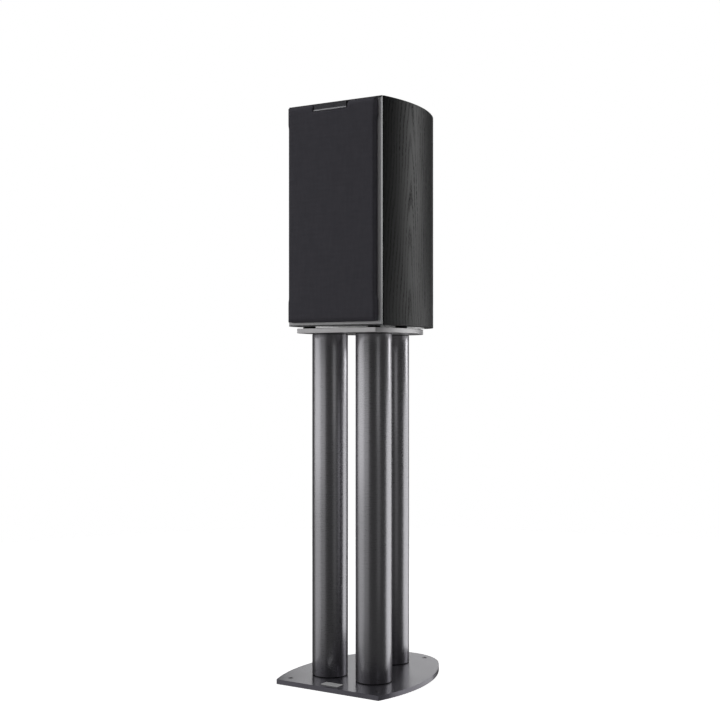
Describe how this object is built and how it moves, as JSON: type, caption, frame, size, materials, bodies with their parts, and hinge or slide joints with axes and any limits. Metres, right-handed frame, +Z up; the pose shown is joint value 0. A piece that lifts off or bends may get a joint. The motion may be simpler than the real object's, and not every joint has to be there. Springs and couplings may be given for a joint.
{
  "type": "bookshelf speaker",
  "caption": "Stand-mount loudspeaker with a lute-shaped black ash cabinet and a pull-off cloth grille, on its matching tubular stand.",
  "frame": {"origin": "on the floor, at the middle of the base plate's box", "axes": "+Z up, the front faces -Y, +X is the listener's right"},
  "size_m": [0.235, 0.292, 0.972],
  "materials": {
    "graphite_plate": "satin graphite lacquer",
    "bright_plate": "satin light grey lacquer",
    "nameplate_metal": "brushed, blank",
    "tube_metal": "satin metallic grey",
    "black_trim": "black",
    "zinc_steel": "zinc plated",
    "black_steel": "blackened",
    "pad_rubber": "matt",
    "ash_veneer": "black-stained open-pore ash, satin",
    "baffle_lacquer": "satin dark grey lacquer",
    "raw_wood": "unfinished board",
    "wadding_felt": "polyester wadding",
    "basket_paint": "powder coat",
    "ferrite": "sintered",
    "cone_fibre": "coated fibre",
    "copper": "enamelled copper wire",
    "surround_rubber": "butyl rubber",
    "spider_cloth": "resin-treated cloth",
    "faceplate_plastic": "fine texture",
    "dome_silk": "coated silk",
    "frame_plastic": "moulded",
    "grille_fabric": "charcoal acoustic cloth",
    "badge_gloss": "blank, polished edge",
    "terminal_brass": "gold flashed",
    "terminal_nickel": "nickel",
    "knob_black": "clear-coated black",
    "knob_red": "clear-coated red",
    "board_laminate": "solder resist",
    "capacitor_film": "film capacitor sleeve",
    "wire_sleeve": "PVC"
  },
  "bodies": {
    "stand": {"base_plate": "graphite_plate", "base_nameplate": "nameplate_metal", "tube_front_left": "tube_metal", "tube_front_right": "tube_metal", "tube_rear": "tube_metal", "tube_rings_lower": "black_trim", "tube_rings_upper": "black_trim", "tie_rods": "zinc_steel", "tie_rod_nuts": "zinc_steel", "top_plate": "bright_plate", "isolation_pads": "pad_rubber"},
    "spike_front_left": {"levelling_spike_front_left": "black_steel"},
    "spike_front_right": {"levelling_spike_front_right": "black_steel"},
    "spike_rear_left": {"levelling_spike_rear_left": "black_steel"},
    "spike_rear_right": {"levelling_spike_rear_right": "black_steel"},
    "grille": {"grille_frame": "frame_plastic", "grille_cloth": "grille_fabric", "grille_pegs": "frame_plastic", "grille_badge": "badge_gloss"},
    "woofer_diaphragm": {"woofer_cone": "cone_fibre", "woofer_dust_cap": "cone_fibre", "woofer_voice_coil": "copper"},
    "tweeter_diaphragm": {"tweeter_dome": "dome_silk", "tweeter_voice_coil": "copper"},
    "collar_left": {"terminal_collar_left": "terminal_nickel"},
    "collar_right": {"terminal_collar_right": "terminal_nickel"},
    "knob_left": {"terminal_knob_left": "knob_black"},
    "knob_right": {"terminal_knob_right": "knob_red"},
    "speaker": {"side_panel_left": "ash_veneer", "side_panel_right": "ash_veneer", "top_panel": "ash_veneer", "bottom_panel": "ash_veneer", "rear_panel": "ash_veneer", "front_baffle": "baffle_lacquer", "window_brace": "raw_wood", "acoustic_wadding": "wadding_felt", "woofer_basket": "basket_paint", "woofer_gasket": "pad_rubber", "woofer_screws": "black_steel", "woofer_front_plate": "zinc_steel", "woofer_magnet": "ferrite", "woofer_pole_piece": "zinc_steel", "woofer_surround": "surround_rubber", "woofer_spider": "spider_cloth", "tweeter_faceplate": "faceplate_plastic", "tweeter_screws": "black_steel", "tweeter_cup": "basket_paint", "tweeter_magnet": "zinc_steel", "tweeter_surround": "surround_rubber", "grille_sockets": "pad_rubber", "port_tube": "frame_plastic", "port_screws": "black_steel", "terminal_plate": "frame_plastic", "terminal_screws": "black_steel", "terminal_posts": "terminal_brass", "crossover_board": "board_laminate", "crossover_inductors": "copper", "crossover_capacitors": "capacitor_film", "crossover_standoffs": "zinc_steel", "internal_wires": "wire_sleeve"}
  },
  "joints": [
    {"name": "speaker_lift_off", "type": "slide", "parent": "stand", "child": "speaker", "axis": [0, 0, 1], "range_m": [0, 0.12]},
    {"name": "grille_pull_off", "type": "slide", "parent": "speaker", "child": "grille", "axis": [0, -1, 0], "range_m": [0, 0.06]},
    {"name": "woofer_travel", "type": "slide", "parent": "speaker", "child": "woofer_diaphragm", "axis": [0, -1, 0], "range_m": [-0.005, 0.005], "stiffness_N_per_m": 900, "deforming": ["woofer_surround", "woofer_spider"]},
    {"name": "tweeter_travel", "type": "slide", "parent": "speaker", "child": "tweeter_diaphragm", "axis": [0, -1, 0], "range_m": [-0.0004, 0.0004], "stiffness_N_per_m": 150, "deforming": ["tweeter_surround"]},
    {"name": "knob_left_travel", "type": "slide", "parent": "speaker", "child": "collar_left", "axis": [0, 1, 0], "range_m": [0, 0.004]},
    {"name": "knob_left_turn", "type": "hinge", "parent": "collar_left", "child": "knob_left", "pos_m": [-0.015, 0.135, 0.697], "axis": [0, 1, 0], "range_deg": [0, 1440]},
    {"name": "knob_right_travel", "type": "slide", "parent": "speaker", "child": "collar_right", "axis": [0, 1, 0], "range_m": [0, 0.004]},
    {"name": "knob_right_turn", "type": "hinge", "parent": "collar_right", "child": "knob_right", "pos_m": [0.015, 0.135, 0.697], "axis": [0, 1, 0], "range_deg": [0, 1440]},
    {"name": "spike_front_left_adjust", "type": "slide", "parent": "stand", "child": "spike_front_left", "axis": [0, 0, -1], "range_m": [0, 0.006]},
    {"name": "spike_front_right_adjust", "type": "slide", "parent": "stand", "child": "spike_front_right", "axis": [0, 0, -1], "range_m": [0, 0.006]},
    {"name": "spike_rear_left_adjust", "type": "slide", "parent": "stand", "child": "spike_rear_left", "axis": [0, 0, -1], "range_m": [0, 0.006]},
    {"name": "spike_rear_right_adjust", "type": "slide", "parent": "stand", "child": "spike_rear_right", "axis": [0, 0, -1], "range_m": [0, 0.006]}
  ],
  "couplings": [
    {"joint": "knob_left_travel", "follows": "knob_left_turn", "m_per_rad": 0.00015915},
    {"joint": "knob_right_travel", "follows": "knob_right_turn", "m_per_rad": 0.00015915}
  ]
}
